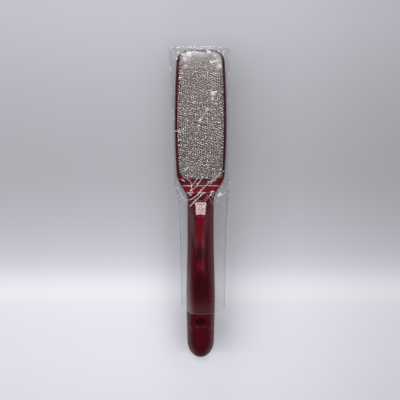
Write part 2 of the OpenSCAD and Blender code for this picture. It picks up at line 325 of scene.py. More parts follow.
# Rows of points along the handle, each marked 1 where the plate's recess is open.
def handleStations():
    m = handleMesh
    quarterTurn = math.pi / 2
    tail = grip["tailRound"] * (1 - np.cos(np.linspace(0.02, 1, m["tailRows"]) * quarterTurn))
    gripRows = np.arange(grip["tailRound"], rampTop - 1.5, m["gripStep"])[1:]
    neckRows = np.arange(rampTop - 1, headRoot - m["neckShort"], m["neckStep"])
    atEdge = np.linspace(-m["grooveReach"], m["grooveReach"], m["cornerRows"])
    for edge in (grooveStart, grooveEnd):
        neckRows = neckRows[np.abs(neckRows - edge) > m["grooveClear"]]
        neckRows = np.concatenate([neckRows, edge + atEdge])
    start = plateStart - plate["gap"]
    end = plateEnd + plate["gap"]
    r = plate["cornerRadius"] + plate["gap"]
    turn = np.linspace(0, quarterTurn, m["cornerRows"])
    lowCorner = start + r * (1 - np.cos(turn))
    highCorner = end - r + r * np.sin(turn)
    before = np.arange(headRoot - m["neckShort"], start - 0.2, m["rootStep"])
    straight = np.linspace(start + r, end - r, int((end - start - 2 * r) / m["headStep"]))[1:-1]
    roundOver = 1 - np.sin(np.linspace(0.25, 1, m["endRows"]) * quarterTurn)
    endRows = fileLen - head["edgeRadius"] * roundOver
    endRows = endRows[endRows > end + 0.05]
    rows = [(s, 0) for s in np.concatenate([tail, gripRows, np.sort(neckRows), before, [start]])]
    rows += [(s, 1) for s in np.concatenate([lowCorner, straight, highCorner])]
    rows += [(s, 0) for s in np.concatenate([[end], endRows])]
    return np.array(rows)


def makeHandle():
    arc, rim, inside = handleMesh["arc"], handleMesh["rim"], handleMesh["inside"]
    quarter = arc + rim + 1 + inside
    rows = handleStations()
    arcLimit = math.radians(grip["facetArc"])
    gap = plate["gap"]

    def place(u, v):
        i = np.rint(u * 4 * quarter).astype(int) % (4 * quarter)
        row = np.rint(v * (len(rows) - 1)).astype(int)
        s = rows[row, 0]
        sunk = rows[row, 1]
        corner = i // quarter
        j = np.where(corner % 2 == 0, i % quarter, quarter - i % quarter)
        signX = np.where((corner == 0) | (corner == 3), 1, -1)
        signZ = np.where(corner < 2, 1, -1)
        w = halfWidth(s)
        t = halfThick(s)
        flat = flatHalf(s)
        # The end edge of the head is rounded over.
        edge = head["edgeRadius"]
        over = np.clip((s - (fileLen - edge)) / edge, 0, 1)
        t = t - edge * (1 - np.sqrt(1 - over * over))
        a = arcLimit * np.clip(j / arc, 0, 1)
        x = w - (w - flat) * (1 - np.cos(a)) / (1 - math.cos(arcLimit))
        z = t * np.sin(a) / math.sin(arcLimit)
        wallX = np.minimum(plateSide(np.clip(s, plateStart - gap, plateEnd + gap), gap), flat * 0.8)
        onRim = clamp((j - arc) / rim)
        within = clamp((j - arc - rim - 1) / inside)
        flatX = np.where(j <= arc + rim, blend(flat, wallX, onRim), wallX * (1 - within))
        x = np.where(j <= arc, x, flatX)
        z = np.where((j > arc + rim) & (sunk > 0), recessZ, z)
        # Faint ripples break up the highlight on the ramp.
        onRamp = ease((s - rampTop + 2) / 2) * ease(rampFoot - 0.5 - s) * (j >= arc - 2)
        rippled = ridgeField(x, s, ripples["pitch"], ripples["seed"], ripples["spread"])
        z = z + ripples["height"] * onRamp * np.clip(rippled, ripples["lowest"], ripples["highest"])
        nearNeck = (s > rampFoot - 1) & (s < headRoot)
        lipped = z + np.where(j >= arc, neck["lipHeight"], 0)
        z = np.where(nearNeck, np.minimum(lipped, neckLevel(x, s)), z)
        return np.stack([signX * x, tailY + s, midZ + signZ * z], axis=1)

    bm = gridMesh(4 * quarter, len(rows) - 1, place)
    bmesh.ops.remove_doubles(bm, verts=bm.verts, dist=handleMesh["weld"] * mm)
    rims = [e for e in bm.edges if e.is_boundary]
    bmesh.ops.holes_fill(bm, edges=rims, sides=0)
    bmesh.ops.recalc_face_normals(bm, faces=bm.faces)
    return makeMesh("handleBody", bm)


handleBody = makeHandle()
smooth(handleBody)
recessEdges = handleBody.modifiers.new("recessEdges", "BEVEL")
recessEdges.width = handleMesh["bevel"] * mm
recessEdges.segments = 2
recessEdges.limit_method = "ANGLE"
recessEdges.angle_limit = math.radians(handleMesh["bevelAngle"])
print("handle:", len(handleBody.data.vertices), "points")

# Rasp plates: a sheet whose top is a field of short wandering ridges and points.
rasp = {
    "front": {"side": 1, "pitch": 1.55, "height": 0.55, "seed": 5},
    "rear": {"side": -1, "pitch": 1.2, "height": 0.28, "seed": 11},
    "across": 184,
    "along": 494,
    "crowding": 0.08,
    "fine": {"share": 0.95, "pitch": 1, "spread": 0.28, "seed": 0},
    "coarse": {"share": 0.26, "pitch": 2.2, "spread": 0.45, "seed": 7},
    "rough": {"share": 0.12, "pitch": 6, "spread": 0.16, "seed": 1},
    "foot": 0.35,
    "climb": 1.9,
    "level": 0.85,
    "bareEdge": 0.7,
    "tallest": 1.08,
}


def makeRasp(name, values):
    side = values["side"]
    sheetUnder = recessZ + plate["adhesive"]
    sheetTop = sheetUnder + plate["sheet"]

    def field(x, s, kind):
        k = rasp[kind]
        pitch, seed = values["pitch"] * k["pitch"], values["seed"] + k["seed"]
        return k["share"] * ridgeField(x, s, pitch, seed, k["spread"])

    def place(u, v):
        # Rows lie a little closer together at both ends of the plate.
        t = np.rint(v * rasp["along"]) / rasp["along"]
        t = t - rasp["crowding"] * np.sin(2 * math.pi * t) / (2 * math.pi)
        s = plateStart + plate["length"] * t
        x = plateSide(s, 0) * (2 * u - 1)
        ridges = field(x, s, "fine") + field(x, s, "coarse")
        h = values["height"] * ease((ridges + rasp["foot"]) / rasp["climb"])
        h = h * (rasp["level"] + field(x, s, "rough"))
        inside = np.minimum(np.minimum(s - plateStart, plateEnd - s), plateSide(s, 0) - np.abs(x))
        h = h * ease(inside / rasp["bareEdge"])
        z = sheetTop + np.clip(h, 0, values["height"] * rasp["tallest"])
        return np.stack([x, tailY + s, midZ + side * z], axis=1)

    bm = gridMesh(rasp["across"], rasp["along"], place)
    rim = [e for e in bm.edges if e.is_boundary]
    grown = bmesh.ops.extrude_edge_only(bm, edges=rim)["geom"]
    for v in (g for g in grown if isinstance(g, bmesh.types.BMVert)):
        v.co.z = (midZ + side * sheetUnder) * mm
    lowRim = [g for g in grown if isinstance(g, bmesh.types.BMEdge)]
    bmesh.ops.holes_fill(bm, edges=lowRim, sides=0)
    bmesh.ops.recalc_face_normals(bm, faces=bm.faces)
    piece = makeMesh(name, bm)
    height = (pointsOf(piece)[:, 2] - midZ - side * sheetTop) * side / values["height"]
    storeNumbers(piece, "toothHeight", np.clip(height, 0, 1))
    smooth(piece)
    return piece


frontRasp = makeRasp("frontRasp", rasp["front"])
rearRasp = makeRasp("rearRasp", rasp["rear"])
print("rasp plates:", len(frontRasp.data.vertices), "points each")


# Sleeve: two sheets of film, pulled down over the file and welded at the edges.
film = {
    "mouth": filmLow[1] / mm - tailY,
    "end": filmHigh[1] / mm - tailY,
    "columns": 168,
    "rowSteps": [(120, 0.9), (160, 0.3), (248, 0.62)],
    "endStep": 0.33,
    "mouthReach": 14,
    "lift": 0.12,
    "onTeeth": 0.9,
    "weld": 4,
    "rounds": 60,
    "seamZ": [(38, 1.6), (110, 2.0), (135, 3.2), (160, 4.4), (262, 5.0)],
    "seamWave": 0.3,
    "leftWaves": [(0.11, 0), (0.29, 1)],
    "rightWaves": [(0.09, 2), (0.33, 0)],
    "endWeld": 1.5,
    "endWave": 0.15,
    "overRim": 0.9,
    "rimFade": 0.5,
    "sink": 0.03,
    "apart": 0.04,
    "belowBox": 0.1,
    "gripEnd": 150,
    "gripFade": 15,
    "crown": [(36, 13.75), (119.5, 13.9), (150.5, 10.85), (260.8, 10.7), (262, 6.0)],
    "squareness": [(38, 5), (70, 5.5), (116, 6), (132, 6), (160, 9), (262, 9)],
    "creaseHalf": 0.95,
    "highlightHalf": 0.5,
    "freeStart": 15,
    "rimClear": 0.9,
}
toothRest = rasp["front"]["height"] * film["onTeeth"]
# The sleeve's two edges as the photograph shows them: pixel row, then the edge's column.
leftEdge = [(45.4, 168.2), (60, 168.6), (80, 169.4), (105, 170.8), (128, 173.2), (170, 173.8),
            (186, 174.6), (200, 178), (220, 179.4), (250, 180.2), (312, 181)]
rightEdge = [(45.4, 231.2), (60, 230.4), (80, 229.6), (130, 228.8), (170, 228.8),
             (182, 230.4), (196, 228.6), (220, 227), (260, 226), (312, 225)]
# Where each sheet ends at the mouth, from left to right.
frontMouth = [(181, 307), (186.5, 310), (191.7, 312.9), (202, 313.6), (213, 312.4), (225, 308.5)]
rearMouth = [(181, 306), (200, 304), (216, 303.6), (225, 308.2)]


def fromPixel(px, py):
    return (px - photo["centreX"]) * photo["mmPerPixel"], (photo["tailPy"] - py) * photo["mmPerPixel"]


def edgeX(s, edge):
    places = sorted((fromPixel(px, py) for py, px in edge), key=lambda p: p[1])
    return np.interp(s, [p[1] for p in places], [p[0] for p in places])


# Top of the file at a place, or far below where there is none.
def fileTop(x, s):
    onFile = np.clip(s, 0.5, fileLen - 0.01)
    w = halfWidth(onFile)
    t = halfThick(onFile)
    flat = flatHalf(onFile)
    out = clamp((np.abs(x) - flat) / np.maximum(w - flat, 0.1))
    top = t * np.sqrt(np.maximum(0, 1 - out ** 2))
    inside = np.minimum(np.minimum(s - plateStart, plateEnd - s), insideSides(x, s))
    top = np.where(inside > 0, faceZ + toothRest * ease((inside + 0.3) / 1.1), top)
    none = (np.abs(x) > w) | (s > fileLen) | (s < 0)
    return np.where(none, -midZ, top)


# Creases of the film: a low ridge from one pixel to another, its height, and how bright the
# painted highlight along the fold is.
creases = [
    ((184, 200.6), (191, 199.6), 0.04, 0.54), ((191, 199.6), (197, 195.5), 0.04, 0.84),
    ((197, 195.5), (201, 191), 0.03, 1), ((201, 191), (209, 182.4), 0.05, 0.72),
    ((209, 182.4), (216.5, 176.6), 0.04, 0.84), ((216.5, 176.6), (224, 170.5), 0.03, 0.6),
    ((190, 206.4), (197, 199.2), 0.05, 0.96), ((197, 199.2), (203.2, 193.4), 0.05, 0.84),
    ((190.4, 191.4), (196.5, 186.6), 0.04, 0.6), ((196.5, 186.6), (203.3, 176), 0.04, 0.84),
    ((192.4, 185), (198, 178), 0.04, 0.66), ((191.8, 191), (191.6, 185), 0.05, 0.96),
    ((191.6, 185), (190.4, 181.4), 0.03, 0.6), ((190.4, 181.4), (187, 179), 0.03, 0.54),
    ((210, 184.2), (213, 181), 0.02, 0.7), ((213, 181), (216, 180.2), 0.01, 0.8),
    ((216, 180.2), (214.6, 178.4), 0.01, 0.7), ((181.4, 179.4), (184.6, 181.3), 0.05, 1),
    ((207, 195), (210, 199), 0.03, 0.3), ((210, 199), (212.8, 204), 0.03, 0.24),
    ((205.4, 198.4), (211, 195), 0.03, 0.3), ((178, 196), (188, 193.2), 0.03, 0.18),
    ((207.5, 110), (200, 121), 0.04, 1), ((200, 121), (195.3, 128.2), 0.02, 0.42),
    ((173, 131.6), (183, 131.4), 0.03, 0.85), ((178.6, 130.4), (178.9, 132.8), 0.04, 1),
    ((184.6, 171), (189, 167), 0.05, 1), ((192, 168), (202, 164), 0.01, 0.3),
    ((209, 91), (217, 94), 0.03, 0.3), ((206, 79), (210, 82), 0.03, 0.36),
    ((210, 82), (206, 83), 0.03, 0.36),
    ((175.6, 187), (178.6, 189.4), 0.17, 1), ((178.6, 189.4), (180.6, 193), 0.17, 0.9),
    ((177.8, 182.6), (176.6, 187.6), 0.15, 0.6), ((180.6, 193), (182.6, 198), 0.15, 0.66),
    ((182, 196.6), (186.6, 200.8), 0.15, 0.42), ((177, 182), (178.6, 179), 0.17, 0.36),
    ((218.6, 195.2), (222.6, 194.8), 0.25, 1), ((222.6, 194.8), (225.4, 191.6), 0.17, 0.48),
    ((183.4, 186.2), (188, 186), 0.01, 0.36), ((188, 186), (191.6, 186.2), 0.02, 0.9),
    ((196, 186.2), (206, 185.8), 0.01, 0.3), ((208, 185.8), (218.4, 186), 0.01, 0.42),
    ((187.6, 192.8), (192.8, 193), 0.03, 1), ((198.4, 193), (205.4, 192.8), 0.03, 0.96),
    ((227, 188.4), (230, 186.4), 0.17, 0.48), ((229.6, 185), (230.6, 179.4), 0.15, 0.42),
    ((168, 47), (174, 53), 0.17, 0.24), ((174, 53), (172, 60), 0.15, 0.24),
    ((177, 48.2), (183, 45.6), 0.17, 0.6), ((181, 49), (186, 47.4), 0.15, 0.36),
    ((174.4, 57), (177, 60), 0.15, 0.6), ((170, 62), (176, 58), 0.15, 0.24),
    ((230, 47), (225, 52), 0.17, 0.18), ((217.4, 49.6), (220, 47.6), 0.15, 0.48),
    ((223.6, 46), (224, 48.4), 0.15, 0.36), ((225, 52), (229, 60), 0.15, 0.18),
    ((223, 56), (226, 66), 0.12, 0.18),
    ((187, 49.4), (216, 49), 0.03, 0.42), ((178, 54.6), (187, 49.4), 0.03, 0.24),
    ((168.8, 62), (169.8, 84), 0.04, 0.26), ((169.8, 84), (170.8, 106), 0.04, 0.14),
    ((171.6, 66), (172.2, 96), 0.03, 0.14), ((228, 62), (227, 84), 0.03, 0.24),
    ((227, 84), (226.6, 116), 0.03, 0.12), ((226, 196), (224.6, 220), 0.03, 0.14),
    ((184.6, 206), (185, 260), 0.03, 0.12), ((218.4, 250), (217.6, 300), 0.02, 0.14),
    ((181.4, 206), (182.6, 250), 0.04, 0.42), ((182.6, 250), (182.6, 300), 0.04, 0.14),
    ((223.8, 236), (224.4, 262), 0.04, 0.36), ((178.6, 200), (180.4, 226), 0.03, 0.36),
    ((176, 201), (179, 214), 0.05, 0.18),
]
# Low blisters of film: a pixel, a radius, a height, and how bright the painted glint on each is.
blisters = [
    ((189, 55.6), 3.6, 0.42, 0.6), ((184.6, 60.6), 2.6, 0.3, 0.55), ((214.6, 57.4), 2.0, 0.22, 0.35),
    ((220.2, 68), 3.2, 0.36, 0.4), ((212.6, 94.6), 3.2, 0.4, 0.85), ((212.6, 99.8), 2.2, 0.35, 0.75),
    ((215.8, 93.4), 1.8, 0.2, 0.6), ((200, 121), 1.9, 0.2, 1.0), ((207.5, 109.7), 2.0, 0.2, 1.0),
    ((219.6, 175.5), 3.2, 0.34, 0.25),
    ((220.2, 194.4), 2.2, 0.5, 1.0), ((225.3, 192.2), 1.0, 0.35, 0.7), ((228.4, 187.8), 1.3, 0.35, 0.9),
    ((229.9, 182), 1.1, 0.35, 0.8), ((177, 187.8), 1.8, 0.4, 0.5), ((213.3, 193.7), 0.7, 0, 0.9),
    ((212.6, 196.9), 0.8, 0, 0.8), ((215.6, 198.6), 0.7, 0, 0.6), ((185.6, 169.9), 1.1, 0.05, 0.9),
    ((187.4, 168.2), 1.2, 0.05, 1.0), ((178.7, 131.5), 1.0, 0.06, 1.0),
]
# Painted reflections where the film lies close on the grip and on the plate's far end: a pixel,
# how far each reaches across and along, and its strength.
paintedReflections = [
    ((187.8, 304), 3.0, 22, 0.14), ((190.2, 310), 3.2, 6, 0.06), ((202, 311), 16, 7, 0.02),
    ((199, 53.5), 15, 3.4, 0.5), ((186, 57.5), 5, 5, 0.35), ((218, 62), 2.6, 8, 0.4),
    ((200, 60), 17, 9, 0.14),
    ((193, 221), 1.5, 9, 0.04), ((194.4, 232), 1.3, 8, 0.03), ((196.2, 242), 1.2, 6, 0.035),
    ((206.8, 219), 1.7, 8, 0.025), ((205.4, 227), 1.3, 9, 0.022), ((203.4, 243), 1.3, 8, 0.045),
    ((203.2, 262), 1.1, 9, 0.022), ((188.2, 277), 1.6, 10, 0.05),
    ((181.4, 202), 1.6, 5, 0.16), ((182.2, 224), 1.3, 10, 0.1),
]


# Height that the creases and blisters add to the film, and the painted highlights and reflections laid on
# it.
def creaseMaps(x, s):
    height, highlight = np.zeros_like(x), np.zeros_like(x)
    for a, b, high, paintedLevel in creases:
        ax, ay = fromPixel(*a)
        bx, by = fromPixel(*b)
        length = math.hypot(bx - ax, by - ay)
        t = np.clip(((x - ax) * (bx - ax) + (s - ay) * (by - ay)) / length ** 2, 0, 1)
        away = np.hypot(x - ax - t * (bx - ax), s - ay - t * (by - ay))
        height = np.maximum(height, high * hump(away / film["creaseHalf"]))
        highlight = np.maximum(highlight, paintedLevel * hump(away / film["highlightHalf"]))
    # Past the plate's first part, painted glints of blisters and painted reflections lie only on the
    # teeth.
    fromRim = np.minimum(insideSides(x, s), plateEnd - s)
    onTeeth = np.where(s > plateStart + film["freeStart"], ease(fromRim / film["rimClear"]), 1)
    for at, radius, high, paintedLevel in blisters:
        cx, cy = fromPixel(*at)
        away = np.hypot(x - cx, s - cy) / radius
        height = np.maximum(height, high * hump(away))
        highlight = np.maximum(highlight, paintedLevel * hump(away) * onTeeth)
    for at, across, along, paintedLevel in paintedReflections:
        cx, cy = fromPixel(*at)
        highlight = highlight + paintedLevel * onTeeth * np.exp(-((x - cx) / across) ** 2 - ((s - cy) / along) ** 2)
    return height, np.minimum(highlight, 1)


# The upper sheet eases into shape without passing through the file.
def settle(z, low, fixed, rounds):
    held = ~np.isnan(fixed)
    for _ in range(rounds):
        near = (z[1:-1, :-2] + z[1:-1, 2:]) * 0.25 + (z[:-2, 1:-1] + z[2:, 1:-1]) * 0.25
        z[1:-1, 1:-1] = np.maximum(near, low[1:-1, 1:-1])
        z[0, 1:-1] = np.maximum(z[1, 1:-1], low[0, 1:-1])
        z[held] = fixed[held]
    return z


# A wide sheet held by both edges stands up as an arch, squarer where the head fills it.
def archHeight(x, s, low, high, left, right):
    across = 2 * (x - low) / (high - low) - 1
    base = blend(left, right, (across + 1) / 2)
    square = stopsAlong(s, film["squareness"])
    full = np.sqrt(np.maximum(0, 1 - np.abs(across) ** square))
    return base + (stopsAlong(s, film["crown"]) - base) * full


# Rows lie closer together at the neck and at the sealed end.
def filmRows():
    rows = []
    start = film["mouth"]
    for end, step in film["rowSteps"] + [(film["end"], film["endStep"])]:
        rows.append(np.linspace(start, end, int((end - start) / step), endpoint=False))
        start = end
    return np.append(np.concatenate(rows), film["end"])


# Moves the first rows so that the sheet ends along its cut edge.
def mouthShift(x, s, edge):
    places = [fromPixel(px, py) for px, py in edge]
    reach = np.interp(x, [p[0] for p in places], [p[1] for p in places]) - film["mouth"]
    return s + reach * (1 - ease((s - film["mouth"]) / film["mouthReach"]))


# A weld's height along the sleeve, in one slow wave and half as much of a quicker one.
def weldHeight(rows, twoWaves):
    (slow, slowStart), (quick, quickStart) = twoWaves
    wave = np.sin(rows * slow + slowStart) + 0.5 * np.sin(rows * quick + quickStart)
    return stopsAlong(rows, film["seamZ"]) + film["seamWave"] * wave


# The lowest that the front sheet may lie: on the file, and at the sealed end level over its
# rim, from where it turns down.
def filmRest(x, s, frontS, rows):
    rest = midZ + fileTop(x, frontS) + film["lift"]
    level = midZ + faceZ + toothRest + film["lift"]
    inside = np.minimum(halfWidth(np.clip(s, 1, fileLen - 0.05)) - np.abs(x), fileLen - s)
    held = ease((inside + film["overRim"]) / film["rimFade"]) * ease(s - plateEnd + 2)
    seam = stopsAlong(rows, film["seamZ"])
    return np.maximum(rest, blend(seam[:, None], level, held))


# Crumples and swells of the film: the height, pitch and seed of each field of ridges.
crumples = [(0.22, 5.5, 31), (0.1, 2.6, 37)]
swells = [(0.05, 9, 41), (0.005, 2.8, 43)]


def ridgeSum(x, s, fields):
    return sum(height * ridgeField(x, s, pitch, seed) for height, pitch, seed in fields)


# The film crumples beside the file, most at the neck and in the corners of the sealed end.
def wrinkleHeight(x, s):
    beside = ease((np.abs(x) - halfWidth(np.clip(s, 1, fileLen - 0.1)) - 0.5) / 2.5)
    beside = np.maximum(beside, ease((s - fileLen) / 1.5))
    atNeck = 1.5 * np.exp(-((s - 141) / 11) ** 2)
    inCorners = 0.1 + 0.9 * ease((np.abs(x) - 10) / 8)
    atEnd = 1.3 * np.exp(-((s - 262) / 9) ** 2) * inCorners
    # It stays almost smooth along the grip's right side.
    smoothed = 1 - 0.85 * ease((x - 9) / 3) * ease((139 - s) / 5)
    crumple = ridgeSum(x, s, crumples) * smoothed * beside * (0.14 + atNeck + atEnd)
    return crumple + np.maximum(ridgeSum(x, s, swells), 0)


# The rear sheet lies on the table, and turns up to the welds in its outer part and at its end.
rearSheet = {
    "level": 0.3,
    "lowest": 0.1,
    "highest": 0.6,
    "wave": 0.1,
    "pitch": 16,
    "seed": 21,
    "turnUp": 0.72,
    "endTurnUp": 3,
    "pastEnd": 1.5,
}


def rearHeight(x, s, u, left, right, across):
    flat = rearSheet["level"] + rearSheet["wave"] * ridgeField(x, s, rearSheet["pitch"], rearSheet["seed"])
    flat = np.clip(flat, rearSheet["lowest"], rearSheet["highest"])
    side = np.abs(np.linspace(-1, 1, len(u)))[None, :]
    seams = np.where(u[None, :] < 0.5, left[:, None], right[:, None])
    under = blend(flat, seams, clamp((side - rearSheet["turnUp"]) / (1 - rearSheet["turnUp"])) ** 2)
    toEnd = (s - fileLen + rearSheet["endTurnUp"]) / (film["end"] - fileLen + rearSheet["pastEnd"])
    return blend(under, across[None, :], clamp(toEnd) ** 2)


# Painted highlights: the cut edges and the welds show as faint pale lines.
def paintEdgeHighlights(x, rows, highlight):
    weld = film["weld"]
    fade = 0.3 + 0.7 * ease((rows - film["gripEnd"]) / film["gripFade"])
    for column, paintedLevel in ((0, 0.2), (-1, 0.16), (weld, 0.12), (-1 - weld, 0.08)):
        highlight[:, column] = np.maximum(highlight[:, column], paintedLevel * fade)
    highlight[0, :] = np.maximum(highlight[0, :], np.where(x[0, :] < -6.5, 0.25, 0.1))
    highlight[-1, :] = np.maximum(highlight[-1, :], 0.2)


def filmSheets():
    rows = filmRows()
    u = np.linspace(0, 1, film["columns"] + 1)
    low, high = edgeX(rows, leftEdge), edgeX(rows, rightEdge)
    x = low[:, None] + (high - low)[:, None] * u[None, :]
    s = np.repeat(rows[:, None], len(u), axis=1)
    frontS = mouthShift(x, s, frontMouth)
    rearS = mouthShift(x, s, rearMouth)
    left, right = weldHeight(rows, film["leftWaves"]), weldHeight(rows, film["rightWaves"])
    across = blend(left[-1], right[-1], u) + film["endWave"] * np.sin(u * math.pi * 5)
    # The welds are fixed, and the sheet settles between them.
    weld = film["weld"]
    fixed = np.full(x.shape, np.nan)
    fixed[:, :weld] = left[:, None]
    fixed[:, -weld:] = right[:, None]
    fixed[rows > film["end"] - film["endWeld"], :] = across
    rest = filmRest(x, s, frontS, rows)
    inLow, inHigh = x[:, weld - 1][:, None], x[:, -weld][:, None]
    top = archHeight(np.clip(x, inLow, inHigh), s, inLow, inHigh, left[:, None], right[:, None])
    top = np.where(np.isnan(fixed), np.maximum(top, rest), fixed)
    top = settle(top, rest, fixed, film["rounds"]) + wrinkleHeight(x, s)
    folds, highlight = creaseMaps(x, frontS)
    top = np.maximum(top, rest - film["sink"]) + folds * np.minimum(1, columnsIn(len(u)) / weld)
    top = np.minimum(top, filmHigh[2] / mm - film["belowBox"])
    under = np.minimum(rearHeight(x, s, u, left, right, across), top - film["apart"])
    for sheet in (top, under):
        sheet[:, 0] = left
        sheet[:, -1] = right
        sheet[-1, :] = across
    paintEdgeHighlights(x, rows, highlight)
    return x, frontS, rearS, top, under, highlight


def makeFilm(name, x, s, z, highlight):
    def place(u, v):
        i = np.rint(u * (x.shape[1] - 1)).astype(int)
        j = np.rint(v * (x.shape[0] - 1)).astype(int)
        return np.stack([x[j, i], tailY + s[j, i], z[j, i]], axis=1)

    piece = makeMesh(name, gridMesh(x.shape[1] - 1, x.shape[0] - 1, place))
    storeNumbers(piece, "paintedHighlight", highlight.ravel())
    # Beside the grip the cut edges look darker than the sheet.
    atSide = ease((film["weld"] - columnsIn(x.shape[1])) / 2)
    storeNumbers(piece, "edgeDark", (atSide * ease((film["gripEnd"] - s) / film["gripFade"])).ravel())
    piece.visible_shadow = False    # clear film hardly dims the light
    smooth(piece)
    return piece


filmX, frontS, rearS, frontZ, rearZ, paintedHighlight = filmSheets()
frontFilm = makeFilm("sleeveFrontFilm", filmX, frontS, frontZ, paintedHighlight)
rearFilm = makeFilm("sleeveRearFilm", filmX, rearS, rearZ, paintedHighlight * 0)
rearFilm.data.flip_normals()
print("films:", len(frontFilm.data.vertices), "points each")


# Small helpers for materials.
def newMaterial(name):
    material = bpy.data.materials.new(name)
    material.use_nodes = True
    nodes = material.node_tree.nodes
    nodes.clear()
    out = nodes.new("ShaderNodeOutputMaterial")
    return material, nodes, material.node_tree.links, out


def addNode(nodes, kind, **values):
    node = nodes.new("ShaderNode" + kind)
    for key, value in values.items():
        setattr(node, key, value)
    return node


def setInputs(node, values):
    for name, value in values.items():
        node.inputs[name].default_value = value


# A number that storeNumbers left on a piece.
def numberOn(nodes, name):
    return addNode(nodes, "Attribute", attribute_name=name).outputs["Fac"]


def mathNode(nodes, links, kind, first, second):
    node = addNode(nodes, "Math", operation=kind)
    links.new(first, node.inputs[0])
    if isinstance(second, (int, float)):
        node.inputs[1].default_value = second
    else:
        links.new(second, node.inputs[1])
    return node.outputs[0]


# A level from 0 to 1 with noise laid over it.
def unevenLevel(nodes, links, level, noise, strength, offset):
    shifted = addNode(nodes, "Math", operation="MULTIPLY_ADD")
    links.new(noise, shifted.inputs[0])
    shifted.inputs[1].default_value = strength
    shifted.inputs[2].default_value = offset
    total = addNode(nodes, "Math", operation="ADD", use_clamp=True)
    links.new(level, total.inputs[0])
    links.new(shifted.outputs[0], total.inputs[1])
    return total.outputs[0]


def noiseOn(nodes, links, coords, scale, detail=3.0, stretch=(1, 1, 1)):
    spread = addNode(nodes, "Mapping")
    spread.inputs["Scale"].default_value = stretch
    links.new(coords, spread.inputs["Vector"])
    texture = addNode(nodes, "TexNoise")
    texture.inputs["Scale"].default_value = scale
    texture.inputs["Detail"].default_value = detail
    links.new(spread.outputs["Vector"], texture.inputs["Vector"])
    return texture.outputs["Fac"]


def ramp(nodes, links, source, stops, mode="LINEAR"):
    node = addNode(nodes, "ValToRGB")
    node.color_ramp.interpolation = mode
    first, last = node.color_ramp.elements[0], node.color_ramp.elements[-1]
    first.position, first.color = stops[0][0], (*stops[0][1], 1)
    last.position, last.color = stops[-1][0], (*stops[-1][1], 1)
    for position, color in stops[1:-1]:
        element = node.color_ramp.elements.new(position)
        element.color = (*color, 1)
    links.new(source, node.inputs["Fac"])
    return node.outputs["Color"]


def mixColors(nodes, links, kind, first, second):
    node = addNode(nodes, "Mix", data_type="RGBA", blend_type=kind)
    node.inputs["Factor"].default_value = 1
    links.new(first, node.inputs["A"])
    links.new(second, node.inputs["B"])
    return node.outputs["Result"]


def mixShaders(nodes, links, share, first, second):
    node = addNode(nodes, "MixShader")
    links.new(share, node.inputs["Fac"])
    links.new(first.outputs[0], node.inputs[1])
    links.new(second.outputs[0], node.inputs[2])
    return node


def bumpOn(nodes, links, height, strength, distance):
    node = addNode(nodes, "Bump")
    node.inputs["Strength"].default_value = strength
    node.inputs["Distance"].default_value = distance
    links.new(height, node.inputs["Height"])
    return node.outputs["Normal"]


def grey(value):
    return (value, value, value)


def greyRamp(nodes, links, source, stops, mode="LINEAR"):
    return ramp(nodes, links, source, [(at, grey(level)) for at, level in stops], mode)


# Deep red plastic, with painted light where it is thin and painted shade in the two pads.
plasticLook = {
    "deep": (0.030, 0.0012, 0.0035),
    "middle": (0.085, 0.0035, 0.010),
    "bright": (0.24, 0.0045, 0.017),
    "olive": (0.13, 0.055, 0.025),
    "roughness": 0.09,
    "scuffed": 2.4,
    "surface": {"IOR": 1.5, "Coat Weight": 0.35, "Coat Roughness": 0.03},
}
# Painted light and shade in the plastic from place to place, where 0 is deep and 1 is bright.
paintedLightLevels = {
    "grip": 0.42,
    "tail": 0.34,
    "stripe": 0.86,
    "pad": 0.17,
    "dimple": 0.02,
    "wedge": 0.22,
    "scoop": 0.8,
    "neck": 0.62,
    "groove": 0.95,
    "head": 0.28,
    "sideLoss": 0.35,
}
# Spots of painted light and shade on the grip: a place along it, two half sizes, and how much of each is
# full or fading.
paintedSpots = {
    "stripe": {"at": 77.4, "across": 4.8, "along": 7.5, "full": 0.35, "fade": 0.65},
    "pad": {"at": pad["at"], "across": 7.4, "along": 15.5, "full": 0.6, "fade": 0.55},
    "dimple": {"at": dimple["at"], "across": 6.6, "along": 5.0, "full": 0.4, "fade": 0.7},
}


def spotOn(x, s, spot):
    away = np.hypot(x / spot["across"], (s - spot["at"]) / spot["along"])
    return 1 - ease((away - spot["full"]) / spot["fade"])


